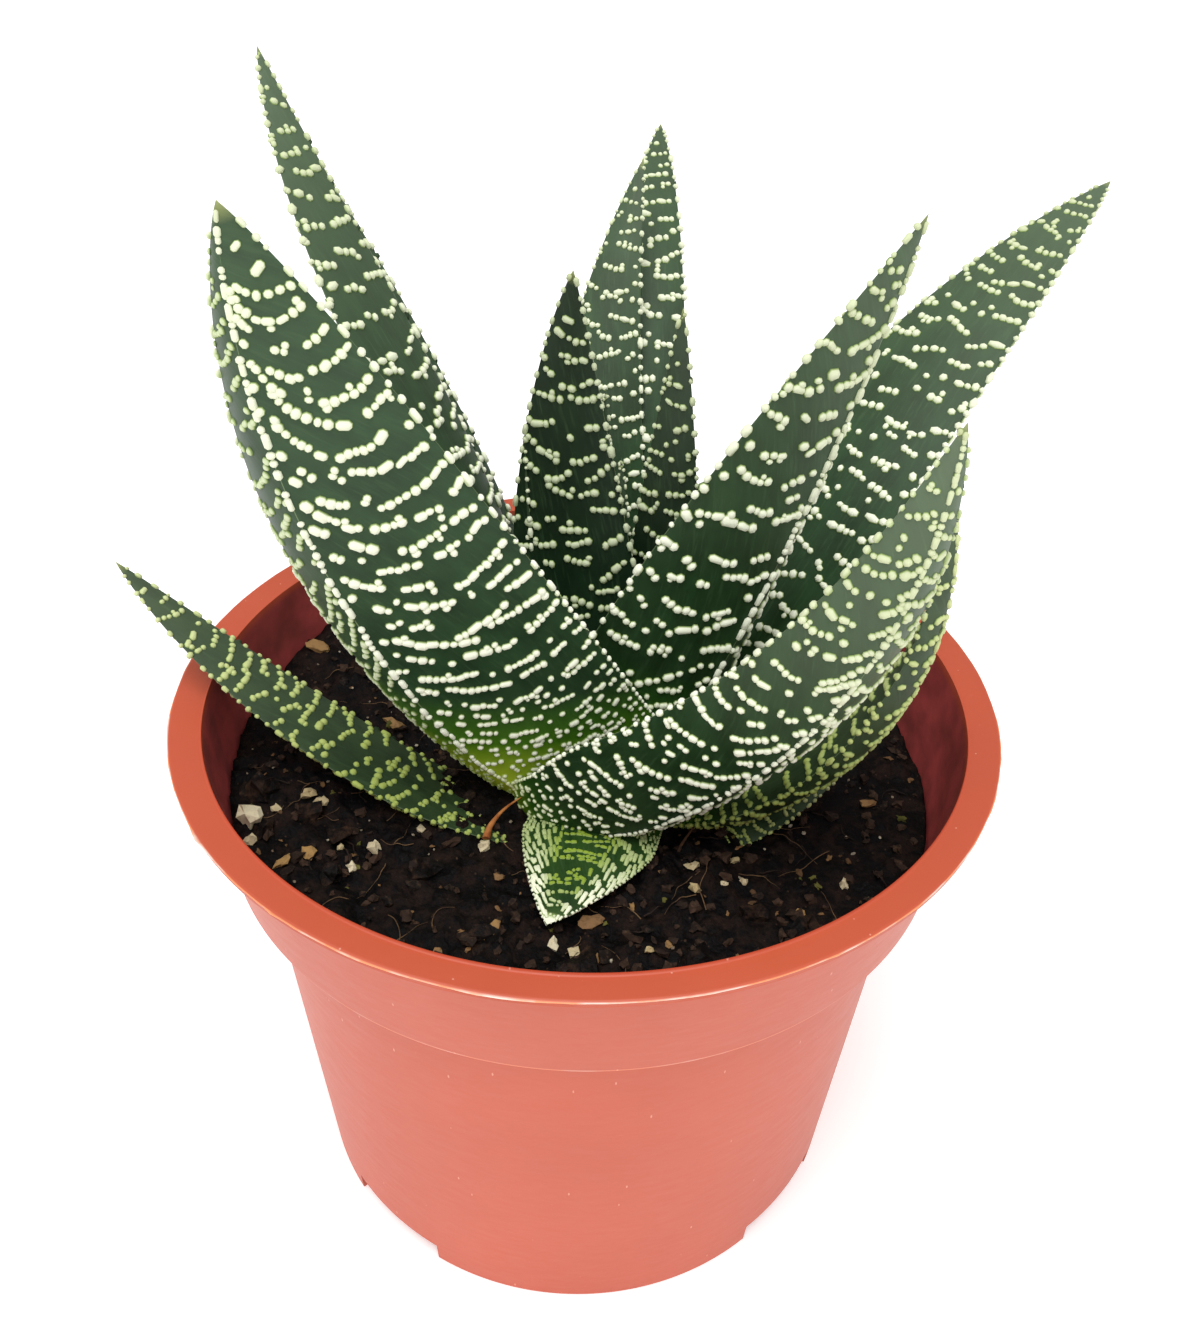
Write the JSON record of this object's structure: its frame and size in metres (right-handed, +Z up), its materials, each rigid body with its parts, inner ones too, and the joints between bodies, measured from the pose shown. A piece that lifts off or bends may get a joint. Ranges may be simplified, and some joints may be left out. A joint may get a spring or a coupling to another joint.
{
  "type": "potted gasteraloe",
  "caption": "Succulent rosette of thick pointed leaves with rows of raised tubercles, growing from soil in a round tapered plastic nursery pot.",
  "frame": {"origin": "centre of the pot's base, on the surface it stands on", "axes": "+Z up the pot's axis; -Y towards the side the picture was taken from; +X to that viewer's right"},
  "size_m": [0.1325, 0.128, 0.1463],
  "materials": {
    "pot_plastic": "satin terracotta",
    "potting_soil": "rough, moist",
    "stem_bark": "matte",
    "leaf_green": "satin, with white tubercles",
    "leaf_young": "satin, with white tubercles",
    "leaf_old": "satin, with yellow-green tubercles"
  },
  "bodies": {
    "root": {"pot": "pot_plastic", "soil": "potting_soil", "stem": "stem_bark", "leaf_bud_low": "leaf_young", "leaf_bud_high": "leaf_young", "leaf_centre_small": "leaf_green", "leaf_centre": "leaf_green", "leaf_right_inner": "leaf_green", "leaf_left_young": "leaf_green", "leaf_centre_tall": "leaf_green", "leaf_back_tall": "leaf_green", "leaf_left_tall": "leaf_green", "leaf_left_back": "leaf_green", "leaf_right_back": "leaf_green", "leaf_front_left": "leaf_young", "leaf_front_right": "leaf_green", "leaf_low_right": "leaf_green", "leaf_low_left": "leaf_old", "leaf_low_front_right": "leaf_old", "leaf_stump_front": "leaf_old"}
  },
  "joints": []
}
